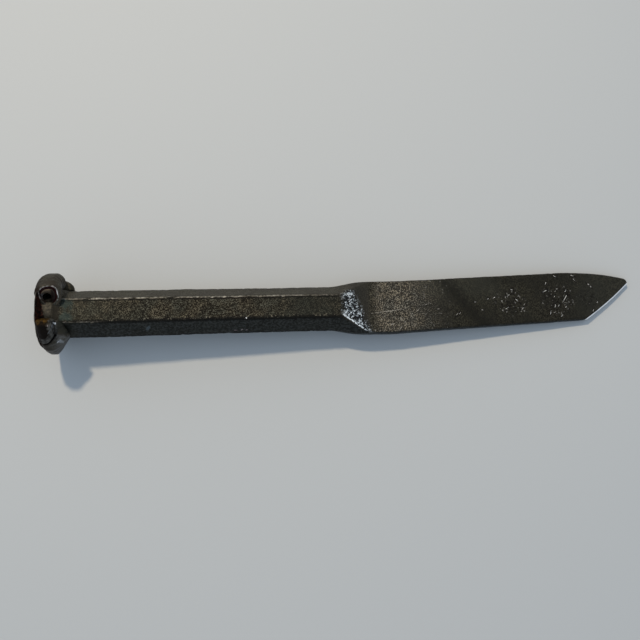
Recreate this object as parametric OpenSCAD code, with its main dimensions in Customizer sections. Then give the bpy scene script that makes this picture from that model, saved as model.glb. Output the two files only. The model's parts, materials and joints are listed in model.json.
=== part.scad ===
// Stone chisel: one forging, lying on a table on the rim of its head and on its slanted edge.
// Along the tool +X runs from the struck face to the tip, and +Z is the upper flat of the bar.

/* [Bar] */
// Width across the flats of the hexagon bar
bar_flats = 16; // [12:0.5:22]
// Rubbed corner of the bar, measured along each flat
bar_corner = 0.2; // [0.1:0.1:1]

/* [Striking head] */
// Radius of the flat middle of the struck face
face_flat_radius = 8; // [4:0.5:9]
// How far the middle of the struck face stands out of its rim
face_crown = 1.2; // [0.4:0.1:2.5]
// How far the upset core behind the face stands out of the bar's corners
core_upset = 0.6; // [0.3:0.1:2]
// How far the flange of the face stands out of that core
flange_overhang = 4.7; // [3:0.1:7]
// Thickness of the flange at its rim
flange_thickness = 1; // [0.6:0.1:1.6]
// Length of the cone between the flange and the upset core
flange_root = 1.2; // [0.8:0.1:1.6]
// Length of the head, from the rim of its face to the hexagon
head_length = 6.2; // [4:0.1:10]

/* [Burr lips] */
// How far a lip's crest stands out of the rim of the face
lip_stand = 1.7; // [1:0.1:4]
// Distance of a lip's crest behind the rim of the face
crest_x = 3.4; // [2.6:0.1:4.6]
// Distance outside the core at which a lip reaches furthest along the tool
roll_out = 2; // [1:0.1:3]
// How far a lip turns back towards the head on its inner side
lip_tuck = 1.2; // [0.4:0.1:2]
// Distance of the open curl's hollow outside the core, to its middle
curl_out = 1.8; // [1.6:0.1:2.6]
// Distance of that hollow behind the rim of the face
curl_x = 3.7; // [3.4:0.1:4.6]
// Radius of the hollow inside the open curl
curl_hole_radius = 1.3; // [0.6:0.1:1.5]
// Depth of that hollow, as an angle round the head
curl_hole_angle = 34; // [10:1:40]
// How far the far lip reaches along the tool
far_lip_reach = 9.2; // [7:0.1:12]
// Angle of the far lip's closed end, from the far side towards the top
far_lip_from = -8; // [-9:1:10]
// Angle of the far lip's open end
far_lip_to = 60; // [50:1:75]
// How far the back lip reaches along the tool
back_lip_reach = 10; // [7:0.1:14]
// Angle of the back lip's lower end
back_lip_from = -62; // [-62:1:-50]
// Angle of the back lip's upper end
back_lip_to = -11; // [-20:1:-11]
// How far the near lip reaches along the tool
near_lip_reach = 8; // [7:0.1:12]
// Angle of the near lip's upper end, beside the gap on top
near_lip_from = 115; // [100:1:130]
// Angle of the near lip's lower end
near_lip_to = 205; // [190:1:205]
// How far the side lip reaches along the tool
side_lip_reach = 7.2; // [7:0.1:12]
// Angle of the side lip's upper end
side_lip_from = 208; // [207:1:215]
// Angle of the side lip's lower end
side_lip_to = 240; // [230:1:240]
// How far the under lip reaches along the tool
under_lip_reach = 8.6; // [7:0.1:12]
// Angle of the under lip's near end
under_lip_from = 243; // [242:1:250]
// Angle of the under lip's far end
under_lip_to = 295; // [285:1:296]

/* [Shank and neck] */
// Length of the hexagon between head and neck
shank_length = 104; // [60:0.5:160]
// Length of the neck, from full hexagon to flat blade
neck_length = 21.8; // [16:0.1:40]
// Length of the neck before its flats begin to slope
neck_lead = 6.6; // [0:0.1:10]

/* [Blade] */
// Length of the blade along the tool, from the neck to the tip
blade_length = 109.7; // [80:0.1:150]
// Width of the blade at the neck
blade_width = 21.4; // [19:0.1:26]
// Width of the blade at the tip, before its corners are ground off
tip_width = 20.5; // [17:0.1:26]
// Thickness of the blade at the neck
root_thickness = 6.6; // [5:0.1:8]
// Thickness of the blade at the tip
tip_thickness = 2.6; // [2:0.1:4]
// Angle by which the blade runs off the line of the bar
blade_skew = 2.5; // [0:0.1:4]
// Distance from the neck to where the blade begins to run off
skew_start = 9; // [0:0.5:30]
// Rounding of the blade's long edges
edge_rounding = 0.6; // [0.3:0.1:0.9]
// Length over which the back of the blade curves down to the tip
back_curve_length = 30.7; // [20:0.1:45]
// Radius of that curve
back_curve_radius = 110; // [90:1:260]
// Radius of the tip
nose_radius = 1.4; // [0.8:0.1:2.5]

/* [Cutting edge] */
// Angle between the line of the bar and a line from the near corner to the tip
slant_angle = 42; // [36:0.5:60]
// Radius of the slanted edge, which bulges a little
edge_radius = 90; // [60:1:200]
// Width of each ground bevel
bevel_width = 0.7; // [0.5:0.1:2]
// Width of the hardened strip behind the edge
edge_strip = 5; // [3:0.1:8]

/* [Hidden] */

$fn = 96;
far_more = 80;
lip_steps = 16;
lip_sides = 6;
lip_thin_end = 0.3;
neck_steps = 22;
curve_steps = 10;
nose_steps = 6;

// The hexagon: half height, and half widths at the top flat and at the waist
bar_half = bar_flats / 2;
bar_top_half = bar_half * tan(30);
bar_waist_half = bar_half / cos(30);

// Radii of the head
core_radius = bar_waist_half + core_upset;
face_radius = core_radius + flange_overhang;
rim_radius = face_radius + lip_stand;
roll_radius = core_radius + roll_out;
curl_radius = core_radius + curl_out;

// Places along the tool
neck_x = head_length + shank_length;
slope_x = neck_x + neck_lead;
blade_x = neck_x + neck_length;
skew_x = blade_x + skew_start;
tip_x = blade_x + blade_length;
curve_x = tip_x - back_curve_length;

// The nose is the small round at the tip. The slanted edge runs from it to the near corner.
nose_x = tip_x - nose_radius;
nose_y = curved_back(nose_x) - nose_radius;
near_edge_slope = (near_edge(tip_x) - near_edge(curve_x)) / back_curve_length;
corner_back = (nose_y - near_edge(nose_x)) / (tan(slant_angle) - near_edge_slope);
corner_x = nose_x - corner_back;
corner_y = near_edge(corner_x);

// Middle of the slanted edge's circle: it passes through the near corner and touches the nose
slant_length = norm([nose_x - corner_x, nose_y - corner_y]);
wheel_along = (pow(edge_radius, 2) - pow(edge_radius - nose_radius, 2) + pow(slant_length, 2))
    / (2 * slant_length);
wheel_inward = sqrt(pow(edge_radius, 2) - pow(wheel_along, 2));

// How the tool lies: the lowest point of the head, the tip and the near corner all touch the table
touch_share = (tip_x - corner_x) / (tip_x - crest_x);
tip_half = half_thickness(tip_x);
corner_half = half_thickness(corner_x);
roll_sine = (touch_share * (rim_radius - tip_half) - (corner_half - tip_half))
    / ((nose_y - corner_y) - touch_share * nose_y);
lie_roll = asin(roll_sine);
lie_pitch = atan((rim_radius - tip_half + nose_y * roll_sine) / (tip_x - crest_x));
lie_height = crest_x * sin(lie_pitch) + rim_radius * cos(lie_pitch);
lie_middle = ((tip_x - face_crown) * cos(lie_pitch) - face_flat_radius * sin(lie_pitch)) / 2;

function mix(a, b, t) = a + (b - a) * t;
function ease(t) = t * t * (3 - 2 * t);

// The blade's middle line, half width, straight near edge, curved back and half thickness at x
function middle_line(x) = max(0, x - skew_x) * tan(blade_skew);
function half_width(x) = mix(blade_width, tip_width, (x - blade_x) / blade_length) / 2;
function near_edge(x) = middle_line(x) - half_width(x);
function curved_back(x) = middle_line(x) + half_width(x)
    - pow(max(0, x - curve_x), 2) / (2 * back_curve_radius);
function nose_arc(x) = nose_y + sqrt(max(0, pow(nose_radius, 2) - pow(x - nose_x, 2)));
function far_edge(x) = x > nose_x ? min(curved_back(x), nose_arc(x)) : curved_back(x);
function half_thickness(x) = mix(root_thickness, tip_thickness, (x - blade_x) / blade_length) / 2;

// One side of a cross-section from its upper to its lower flat: [flat half width, half height],
// a point part of the way down the sloping side, and the waist
function side_points(flat_w, half_h, waist_w, waist_h, corner) =
    let (
        run = waist_w - flat_w,
        drop = half_h - waist_h,
        share = min(0.5, corner / norm([run, drop])),
        shoulder = [flat_w + run * share, half_h - drop * share]
    )
    [
        [flat_w - corner, half_h], shoulder, [waist_w, waist_h],
        [waist_w, -waist_h], [shoulder.x, -shoulder.y], [flat_w - corner, -half_h]
    ];

// A whole cross-section about its middle line, as [y, z]
function outline(middle, side) = concat(
    [for (p = side) [middle + p.x, p.y]],
    [for (i = [len(side) - 1:-1:0]) [middle - side[i].x, side[i].y]]
);

bar_side = side_points(
    bar_top_half, bar_half,
    bar_waist_half - bar_corner / 2, bar_corner * sin(60), bar_corner
);

function blade_side(half_w, half_h) = side_points(
    half_w - edge_rounding, half_h, half_w, half_h - edge_rounding, edge_rounding
);

// The neck: its waist swells out at once, and its flats slope down after a short lead
function neck_outline(x) =
    let (
        t = (x - neck_x) / neck_length,
        s = max(0, x - slope_x) / (blade_x - slope_x),
        root = blade_side(blade_width / 2, root_thickness / 2)
    )
    outline(0, side_points(
        mix(bar_top_half, blade_width / 2 - edge_rounding, min(1, s * 1.2)),
        mix(bar_half, root_thickness / 2, ease(pow(s, 0.8))),
        mix(bar_side[2].x, root[2].x, ease(min(1, t * 1.5))),
        mix(bar_side[2].y, root[2].y, ease(t)),
        mix(bar_corner, edge_rounding, t)
    ));

function blade_outline(x) = outline(
    (far_edge(x) + near_edge(x)) / 2,
    blade_side((far_edge(x) - near_edge(x)) / 2, half_thickness(x))
);

// Solid through a row of cross-sections, each a list of [x, y, z]
module loft(rings) {
    n = len(rings[0]);
    last = len(rings) - 1;
    polyhedron(
        points = [for (ring = rings) each ring],
        faces = concat(
            [[for (i = [n - 1:-1:0]) i]],
            [[for (i = [0:n - 1]) last * n + i]],
            [for (k = [0:last - 1]) for (i = [0:n - 1])
                each let (j = (i + 1) % n) [
                    [k * n + i, (k + 1) * n + j, (k + 1) * n + i],
                    [k * n + i, k * n + j, (k + 1) * n + j]
                ]]
        )
    );
}

function ring_at(x, points) = [for (p = points) [x, p.x, p.y]];

// Lays the tool down from its own straight frame to where it rests on the table
module lay_down() {
    translate([-lie_middle, 0, lie_height])
        rotate([lie_roll, lie_pitch, 0])
            children();
}

// Turns a shape made about +Z so that it lies along the tool, with its 0 angle on the far side
module along_tool() {
    rotate([90, 0, 90]) children();
}

// Revolved outline of the head, as [radius, place along the tool]
module head_profile() {
    polygon([
        [0, -face_crown],
        [face_flat_radius, -face_crown],
        [mix(face_flat_radius, face_radius, 0.5), -face_crown * 0.7],
        [face_radius, 0],
        [face_radius, flange_thickness],
        [core_radius, flange_thickness + flange_root],
        [core_radius, head_length],
        [0, head_length]
    ]);
}

module striking_head() {
    color([0.27, 0.26, 0.23])
        lay_down() along_tool() rotate_extrude() head_profile();
}

// A quarter of an oval, without its first point, from one place on the section to another
function quarter(from, to, first_radial) = [
    for (i = [1:lip_sides])
        let (a = 90 * i / lip_sides, u = sin(a), v = 1 - cos(a))
        first_radial
            ? [mix(from.x, to.x, u), mix(from.y, to.y, v)]
            : [mix(from.x, to.x, v), mix(from.y, to.y, u)]
];

// Section of a lip, as [radius, place along the tool]: it starts at the rim of the face, rolls out
// and back over the flange, turns in towards the bar, and sits on the core and the flange
function lip_section(reach, size) =
    let (
        root = flange_thickness + flange_root,
        rim = [face_radius, 0],
        top = [mix(face_radius, rim_radius, size), crest_x],
        back = [roll_radius, mix(root + lip_tuck, reach, size)],
        foot = [core_radius, back.y - lip_tuck]
    )
    concat(
        [rim],
        quarter(rim, top, true),
        quarter(top, back, false),
        quarter(back, foot, true),
        [[core_radius, root], [face_radius, flange_thickness]]
    );

// A lip swells from thin ends to a full roll. An open end keeps its full section.
function lip_size(t, open) =
    let (end = open && t > 0.5 ? 0 : pow(abs(2 * t - 1), 3))
    mix(1, lip_thin_end, end);

module lip(from, to, reach, open = false) {
    loft([for (k = [0:lip_steps])
        let (t = k / lip_steps, angle = mix(from, to, t))
        [for (p = lip_section(reach, lip_size(t, open)))
            [p.y, p.x * cos(angle), p.x * sin(angle)]]]);
}

// The hollow that is left inside the curl where its end stands open
module curl_hollow() {
    along_tool()
        rotate([0, 0, far_lip_to - curl_hole_angle])
            rotate_extrude(angle = curl_hole_angle + 5)
                translate([curl_radius, curl_x]) circle(curl_hole_radius);
}

module burr_lip_far() {
    color([0.3, 0.29, 0.28]) lay_down() difference() {
        lip(far_lip_from, far_lip_to, far_lip_reach, open = true);
        curl_hollow();
    }
}

module burr_lip_back() {
    color([0.26, 0.25, 0.22]) lay_down() lip(back_lip_from, back_lip_to, back_lip_reach);
}

module burr_lip_near() {
    color([0.29, 0.28, 0.28]) lay_down() lip(near_lip_from, near_lip_to, near_lip_reach);
}

module burr_lip_side() {
    color([0.25, 0.24, 0.22]) lay_down() lip(side_lip_from, side_lip_to, side_lip_reach);
}

module burr_lip_under() {
    color([0.24, 0.23, 0.21]) lay_down() lip(under_lip_from, under_lip_to, under_lip_reach);
}

module shank() {
    color([0.23, 0.22, 0.18])
        lay_down() translate([head_length, 0, 0]) along_tool()
            linear_extrude(shank_length) polygon(outline(0, bar_side));
}

module neck() {
    color([0.26, 0.26, 0.24])
        lay_down() loft([for (k = [0:neck_steps])
            let (x = neck_x + neck_length * k / neck_steps) ring_at(x, neck_outline(x))]);
}

// The flat blade before its end is ground to the slant
module blank() {
    stations = concat(
        [blade_x, skew_x],
        [for (k = [0:curve_steps - 1]) mix(curve_x, nose_x, k / curve_steps)],
        [for (k = [0:nose_steps]) nose_x + nose_radius * sin(90 * k / nose_steps)]
    );
    loft([for (x = stations) ring_at(x, blade_outline(x))]);
}

// Puts a shape at the near corner, turned so that +X runs from there to the tip
module along_slant() {
    translate([corner_x, corner_y, 0]) rotate([0, 0, slant_angle]) children();
}

// A block on one side of the line that divides the blade from its hardened strip: in front of
// the line (side = -1), or behind it towards the neck (side = 1)
module strip_block(side) {
    along_slant()
        translate([-2 * far_more, side > 0 ? edge_strip : edge_strip - 3 * far_more, -far_more / 2])
            cube([4 * far_more, 3 * far_more, far_more]);
}

// What both bevels leave: a disc that comes to an edge at the middle of the blade's thickness
module edge_disc() {
    height = root_thickness;
    shoulder = edge_radius - bevel_width * height / tip_half;
    along_slant() translate([wheel_along, wheel_inward, 0])
        rotate_extrude($fn = 4 * $fn)
            polygon([[0, -height], [shoulder, -height], [edge_radius, 0], [shoulder, height], [0, height]]);
}

module blade() {
    color([0.22, 0.22, 0.2]) lay_down() difference() {
        blank();
        strip_block(-1);
    }
}

module cutting_edge() {
    color([0.24, 0.24, 0.23]) lay_down() intersection() {
        difference() {
            blank();
            strip_block(1);
        }
        edge_disc();
    }
}

striking_head();
burr_lip_far();
burr_lip_back();
burr_lip_near();
burr_lip_side();
burr_lip_under();
shank();
neck();
blade();
cutting_edge();
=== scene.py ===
import json
import math
import bpy
from mathutils import Euler, Matrix, Vector, noise


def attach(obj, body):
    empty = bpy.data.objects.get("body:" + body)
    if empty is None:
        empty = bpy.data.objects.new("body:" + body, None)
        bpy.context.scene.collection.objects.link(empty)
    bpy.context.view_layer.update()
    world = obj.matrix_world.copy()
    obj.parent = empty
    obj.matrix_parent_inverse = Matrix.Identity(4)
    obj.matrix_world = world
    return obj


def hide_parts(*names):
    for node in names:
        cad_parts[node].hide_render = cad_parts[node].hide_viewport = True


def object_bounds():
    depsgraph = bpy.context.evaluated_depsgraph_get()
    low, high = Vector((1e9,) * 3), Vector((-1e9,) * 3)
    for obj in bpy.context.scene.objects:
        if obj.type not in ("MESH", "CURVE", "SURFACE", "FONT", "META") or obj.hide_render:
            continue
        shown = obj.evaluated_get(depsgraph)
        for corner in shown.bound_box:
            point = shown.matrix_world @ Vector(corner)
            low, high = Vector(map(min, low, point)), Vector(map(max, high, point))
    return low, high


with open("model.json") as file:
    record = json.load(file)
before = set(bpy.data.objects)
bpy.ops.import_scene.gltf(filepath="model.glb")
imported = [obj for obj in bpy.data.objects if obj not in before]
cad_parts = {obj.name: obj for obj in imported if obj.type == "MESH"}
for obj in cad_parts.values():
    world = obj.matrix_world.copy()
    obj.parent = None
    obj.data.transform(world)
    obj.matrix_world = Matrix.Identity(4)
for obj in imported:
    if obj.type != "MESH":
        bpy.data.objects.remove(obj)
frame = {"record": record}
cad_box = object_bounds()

# How the chisel lies. Everything is shaped along the tool's own straight axis, in millimetres, and
# then laid down on the table: +X runs from the struck face to the tip, and +Z is the upper flat.
MM = 0.001
FACE_CROWN = 1.2
mounts = {mount["name"]: mount for mount in frame["record"]["mounts"]}
along = -Vector(mounts["struck_face"]["axis"])
upward = Vector(mounts["hex_flat_top"]["axis"])
lie = Matrix((along, upward.cross(along), upward)).transposed().to_4x4()
lie.translation = Vector(mounts["struck_face"]["pos_m"]) + along * FACE_CROWN * MM
tool_to_row = lie @ Matrix.Scale(MM, 4)


def lay_down(piece, *nodes, slot):
    """Puts a piece that was shaped in the tool's own frame where the chisel lies."""
    piece.data.transform(tool_to_row)
    low, high = cad_box
    for vertex in piece.data.vertices:
        vertex.co = [min(max(value, low[i]), high[i]) for i, value in enumerate(vertex.co)]
    piece.data.update()
    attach(piece, "root")
    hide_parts(*nodes)


# The table and the light. The floor is plain and pale. A warm lamp stands on the far left, and a
# cooler even light comes from all round, so that the shadow falls to the near side.
FLOOR_COLOUR = (0.49, 0.475, 0.44, 1)
LAMP_FROM = Vector((-0.25, 0.49, 0.834))
LAMP_DISTANCE = 0.85
bpy.ops.object.select_all(action="DESELECT")
bpy.ops.mesh.primitive_plane_add(size=6)
floor = bpy.context.active_object
floor.name = "floor"
paint = bpy.data.materials.new("pale_floor")
paint.use_nodes = True
principled = paint.node_tree.nodes["Principled BSDF"]
principled.inputs["Base Color"].default_value = FLOOR_COLOUR
principled.inputs["Roughness"].default_value = 0.9
principled.inputs["Specular IOR Level"].default_value = 0.2
floor.data.materials.append(paint)

bpy.ops.object.light_add(type="AREA", location=LAMP_FROM * LAMP_DISTANCE)
lamp = bpy.context.active_object
lamp.rotation_euler = LAMP_FROM.to_track_quat("Z", "Y").to_euler()
lamp.data.shape = "DISK"
lamp.data.size = 0.06
lamp.data.energy = 4.4
lamp.data.color = (1.0, 0.885, 0.7)

world = bpy.data.worlds.new("studio")
bpy.context.scene.world = world
world.use_nodes = True
tree = world.node_tree
ambient = tree.nodes["Background"]
ambient.inputs["Color"].default_value = (0.61, 0.77, 1.0, 1)
ambient.inputs["Strength"].default_value = 0.78
shown = tree.nodes.new("ShaderNodeBackground")
shown.inputs["Color"].default_value = (0.6, 0.63, 0.66, 1)
rays = tree.nodes.new("ShaderNodeLightPath")
seen = tree.nodes.new("ShaderNodeMath")
seen.operation = "MAXIMUM"
tree.links.new(rays.outputs["Is Camera Ray"], seen.inputs[0])
tree.links.new(rays.outputs["Is Transmission Ray"], seen.inputs[1])
either = tree.nodes.new("ShaderNodeMath")
either.operation = "MAXIMUM"
tree.links.new(seen.outputs[0], either.inputs[0])
tree.links.new(rays.outputs["Is Glossy Ray"], either.inputs[1])
blend = tree.nodes.new("ShaderNodeMixShader")
tree.links.new(either.outputs[0], blend.inputs[0])
tree.links.new(ambient.outputs[0], blend.inputs[1])
tree.links.new(shown.outputs[0], blend.inputs[2])
tree.links.new(blend.outputs[0], tree.nodes["World Output"].inputs["Surface"])
bpy.context.scene.view_settings.view_transform = "Standard"

# The camera looks down at the chisel from above its neck, as the photograph does.
CAMERA_AT = Vector((86.0, -46.52, 277.8))
CAMERA_TURN = (8.714, -4.526, -1.829)
camera = bpy.data.objects.new("camera", bpy.data.cameras.new("camera"))
bpy.context.collection.objects.link(camera)
camera.data.sensor_fit = "HORIZONTAL"
camera.data.angle = math.radians(50)
camera.data.clip_start = 0.01
turn = Euler([math.radians(a) for a in CAMERA_TURN]).to_matrix().to_4x4()
camera.matrix_world = lie @ Matrix.Translation(CAMERA_AT * MM) @ turn
bpy.context.scene.camera = camera


# The forged body: bar, neck and blade are drawn out of one hexagon bar, so their skin is made as one
# mesh. It is extruded section by section, dented by the hammer, and then parted where the zones of
# the forging meet: shank, neck, blade and the ground cutting edge.
BAR_HALF = 8
BAR_CORNER = 0.36
BODY_START = 6.2
NECK_X = 110.2
SLOPE_X = 116.8
BLADE_X = 132
SKEW_X = 141
TIP_X = 241.45
CURVE_X = 211
CORNER_X = 222.46
BLADE_WIDTH = 21.3
TIP_WIDTH = 20.4
ROOT_THICKNESS = 6.6
TIP_THICKNESS = 2.6
EDGE_ROUNDING = 0.5
BLADE_SKEW = math.tan(math.radians(2.5))
BACK_RADIUS = 110
NOSE_RADIUS = 1.9
NOSE_X = TIP_X - NOSE_RADIUS
EDGE_RADIUS = 140
EDGE_STRIP = 5
BEVEL_WIDTH = 0.75
STEP = 0.4
FLAT_CUTS = 30
SIDE_CUTS = 15


def mix(a, b, t):
    return a + (b - a) * t


def ease(t):
    t = min(1, max(0, t))
    return t * t * (3 - 2 * t)


def middle_line(x):
    return max(0, x - SKEW_X) * BLADE_SKEW


def half_width(x):
    return mix(BLADE_WIDTH, TIP_WIDTH, (x - BLADE_X) / (TIP_X - BLADE_X)) / 2


def curved_back(x):
    return middle_line(x) + half_width(x) - max(0, x - CURVE_X) ** 2 / (2 * BACK_RADIUS)


NOSE_Y = curved_back(NOSE_X) - NOSE_RADIUS
NEAR_CORNER = Vector((CORNER_X, middle_line(CORNER_X) - half_width(CORNER_X)))
to_nose = Vector((NOSE_X, NOSE_Y)) - NEAR_CORNER
slant = to_nose.normalized()
wheel_along = (EDGE_RADIUS**2 - (EDGE_RADIUS - NOSE_RADIUS) ** 2 + to_nose.length**2) / (2 * to_nose.length)
wheel_inward = math.sqrt(EDGE_RADIUS**2 - wheel_along**2)
EDGE_MIDDLE = NEAR_CORNER + slant * wheel_along + Vector((-slant.y, slant.x)) * wheel_inward


def nose_arc(x):
    return math.sqrt(max(0, NOSE_RADIUS**2 - max(0, x - NOSE_X) ** 2))


def far_side(x):
    return min(curved_back(x), NOSE_Y + nose_arc(x)) if x > NOSE_X else curved_back(x)


def near_side(x):
    straight = middle_line(x) - half_width(x)
    if x <= CORNER_X:
        return straight
    arc = EDGE_MIDDLE.y - math.sqrt(EDGE_RADIUS**2 - (x - EDGE_MIDDLE.x) ** 2)
    return min(max(straight, arc), NOSE_Y - nose_arc(x) + 0.02)


def half_section(flat_w, half_h, waist_w, waist_h, corner):
    """One side of a section: flat corner, shoulder and waist, each as (width, height)."""
    run, drop = waist_w - flat_w, half_h - waist_h
    share = min(0.5, corner / math.hypot(run, drop))
    return [(flat_w - corner, half_h), (flat_w + run * share, half_h - drop * share), (waist_w, waist_h)]


def bar_section(x):
    """The hexagon of the bar, which the neck hammers down and spreads."""
    top = BAR_HALF * math.tan(math.radians(30))
    waist = BAR_HALF / math.cos(math.radians(30)) - BAR_CORNER / 2
    t = (x - NECK_X) / (BLADE_X - NECK_X)
    s = max(0, x - SLOPE_X) / (BLADE_X - SLOPE_X)
    half = half_section(
        mix(top, BLADE_WIDTH / 2 - EDGE_ROUNDING, min(1, s * 1.28)),
        mix(BAR_HALF, ROOT_THICKNESS / 2, ease(s**0.8)),
        mix(waist, BLADE_WIDTH / 2, ease((t - 0.12) * 1.55)),
        mix(BAR_CORNER * 0.87, ROOT_THICKNESS / 2 - EDGE_ROUNDING, ease(t)),
        mix(BAR_CORNER, EDGE_ROUNDING, max(0, t)),
    )
    swell = 0.7 * ease(1 - (x - 6) / 100)
    return half, [(-w * (1 + swell / waist), h) for w, h in half]


def blade_section(x):
    """The flat blade: rounded long edges, and a ground bevel along the slanted edge."""
    half_h = mix(ROOT_THICKNESS, TIP_THICKNESS, (x - BLADE_X) / (TIP_X - BLADE_X)) / 2
    far, near = far_side(x), near_side(x)
    rounding = min(EDGE_ROUNDING, (far - near) * 0.2)
    back = half_section(far - rounding, half_h, far, half_h - EDGE_ROUNDING, rounding)
    if x <= CORNER_X + 0.1:
        front = [(near + rounding * 2, half_h), (near + rounding * 0.7, half_h), (near, half_h - EDGE_ROUNDING)]
    else:
        bevel = min(BEVEL_WIDTH / slant.x, (far - near) * 0.3)
        front = [(near + bevel, half_h), (near + bevel * 0.15, half_h * 0.72), (near, 0.05)]
    return back, front


def section(x):
    """All twelve points of a section, from the far upper flat corner round by the far side."""
    far, near = blade_section(x) if x >= BLADE_X else bar_section(x)
    under_far = [(w, -h) for w, h in reversed(far)]
    under_near = [(w, -h) for w, h in near]
    return [(x, w, h) for w, h in far + under_far + under_near + list(reversed(near))]


def swept(name, rings):
    """Extrudes a disc once for every further ring, and sets each ring's points in place. Returns
    the piece, and for every vertex the number of its ring and its number in the ring."""
    sides = len(rings[0])
    bpy.ops.object.select_all(action="DESELECT")
    bpy.ops.mesh.primitive_circle_add(
        vertices=sides, radius=1, fill_type="NGON", rotation=(0, math.pi / 2, 0)
    )
    piece = bpy.context.active_object
    piece.name = piece.data.name = name
    bpy.ops.object.transform_apply(location=False, rotation=True, scale=False)
    bpy.ops.object.mode_set(mode="EDIT")
    bpy.ops.mesh.select_all(action="SELECT")
    for _ in rings[1:]:
        bpy.ops.mesh.extrude_region_move(TRANSFORM_OT_translate={"value": (1, 0, 0)})
    bpy.ops.object.mode_set(mode="OBJECT")
    places = {}
    for vertex in piece.data.vertices:
        turn = math.degrees(math.atan2(vertex.co.y, vertex.co.z)) * sides / 360
        places[vertex.index] = (round(vertex.co.x), round(turn) % sides)
    for vertex in piece.data.vertices:
        ring, turn = places[vertex.index]
        vertex.co = rings[ring][turn]
    bpy.ops.object.mode_set(mode="EDIT")
    bpy.ops.mesh.select_all(action="SELECT")
    bpy.ops.mesh.normals_make_consistent(inside=False)
    bpy.ops.object.mode_set(mode="OBJECT")
    return piece, places


def cut_across(piece, places, pairs, cuts):
    """Divides the skin between neighbouring long lines, which are named by their numbers in a ring."""
    bpy.ops.object.mode_set(mode="EDIT")
    bpy.ops.mesh.select_mode(type="EDGE")
    bpy.ops.mesh.select_all(action="DESELECT")
    bpy.ops.object.mode_set(mode="OBJECT")
    for edge in piece.data.edges:
        one, other = (places.get(index, (None, None)) for index in edge.vertices)
        edge.select = one[0] is not None and one[0] == other[0] and {one[1], other[1]} in pairs
    bpy.ops.object.mode_set(mode="EDIT")
    bpy.ops.mesh.subdivide(number_cuts=cuts)
    bpy.ops.mesh.select_mode(type="VERT")
    bpy.ops.object.mode_set(mode="OBJECT")


def dent(piece, name, size, depth, level=0.5):
    """Pushes the skin in and out along its normal by soft noise. Size and depth in millimetres."""
    cloud = bpy.data.textures.new(name, "CLOUDS")
    cloud.noise_scale = size
    cloud.noise_depth = 2
    push = piece.modifiers.new(name, "DISPLACE")
    push.texture = cloud
    push.texture_coords = "LOCAL"
    push.strength = depth
    push.mid_level = level
    bpy.context.view_layer.objects.active = piece
    bpy.ops.object.modifier_apply(modifier=name)


stations = [BODY_START]
while stations[-1] < TIP_X - 0.06:
    fine = STEP if stations[-1] < TIP_X - 3 else 0.12
    stations.append(min(stations[-1] + fine, TIP_X - 0.05))
    if stations[-2] < CORNER_X < stations[-1]:
        stations[-1] = CORNER_X
body, places = swept("forged_body", [section(x) for x in stations])
cut_across(body, places, [{11, 0}, {5, 6}], FLAT_CUTS)
cut_across(body, places, [{1, 2}, {3, 4}, {7, 8}, {9, 10}], SIDE_CUTS)
cut_across(body, places, [{2, 3}, {8, 9}], 4)

# How far each point is from the nearest long corner, which is where the hammer and the hand wear
# the skin bare. The corners themselves are nicked, the flats only waver.
to_corner = body.data.attributes.new("to_corner", "FLOAT", "POINT")
for index, vertex in enumerate(body.data.vertices):
    x, y, z = vertex.co
    points = section(x)
    middles = [(points[i][1] + points[i + 1][1], points[i][2] + points[i + 1][2]) for i in range(0, 12, 2)]
    reach = min(math.hypot(y - w / 2, z - h / 2) for w, h in middles)
    to_corner.data[index].value = reach
    if x < CORNER_X - 1:
        bite = noise.noise(Vector((x * 0.55, y * 0.4, z * 0.4))) - 0.12
        bite += 0.5 * noise.noise(Vector((x * 1.9, y, z)))
        shrink = max(0, bite) * 0.5 * ease(1 - reach / 1.1)
        vertex.co.y -= math.copysign(shrink, y - middle_line(x)) * 0.7
        vertex.co.z -= math.copysign(shrink, z)
body.data.update()
dent(body, "forge_wave", 12, 0.3, 0.42)
dent(body, "hammer_dents", 2.8, 0.14, 0.52)


def put(tree, kind, inputs=(), **settings):
    """Adds a shader node. Inputs are sockets to link or values to set."""
    node = tree.nodes.new("ShaderNode" + kind)
    for name, value in settings.items():
        setattr(node, name, value)
    for key, value in dict(inputs).items():
        if isinstance(value, bpy.types.NodeSocket):
            tree.links.new(value, node.inputs[key])
        else:
            node.inputs[key].default_value = value
    return node


def calc(tree, operation, *values):
    return put(tree, "Math", dict(enumerate(values)), operation=operation).outputs[0]


def product(tree, *values):
    result = values[0]
    for value in values[1:]:
        result = calc(tree, "MULTIPLY", result, value)
    return result


def ramp(tree, value, low, high, start=0.0, end=1.0):
    """A smooth step from start, at low, to end, at high."""
    if low > high:
        low, high, start, end = high, low, end, start
    inputs = {"Value": value, "From Min": low, "From Max": high, "To Min": start, "To Max": end}
    return put(tree, "MapRange", inputs, interpolation_type="SMOOTHSTEP").outputs[0]


def band(tree, value, low, high, soft):
    """1 between low and high, fading to 0 over the soft width on both sides."""
    rise = ramp(tree, value, low - soft, low + soft)
    return calc(tree, "MULTIPLY", rise, ramp(tree, value, high - soft, high + soft, 1.0, 0.0))


def tint(tree, share, one, other):
    return put(tree, "Mix", {0: share, 6: one, 7: other}, data_type="RGBA").outputs[2]


def cloudiness(tree, vector, size, detail=3.0, rough=0.55):
    """Soft noise whose blotches are about so many millimetres across."""
    inputs = {"Vector": vector, "Scale": 1 / size, "Detail": detail, "Roughness": rough}
    return put(tree, "TexNoise", inputs).outputs["Fac"]


def stretched(tree, vector, *shares):
    return put(tree, "VectorMath", {0: vector, 1: shares}, operation="MULTIPLY").outputs[0]


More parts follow.
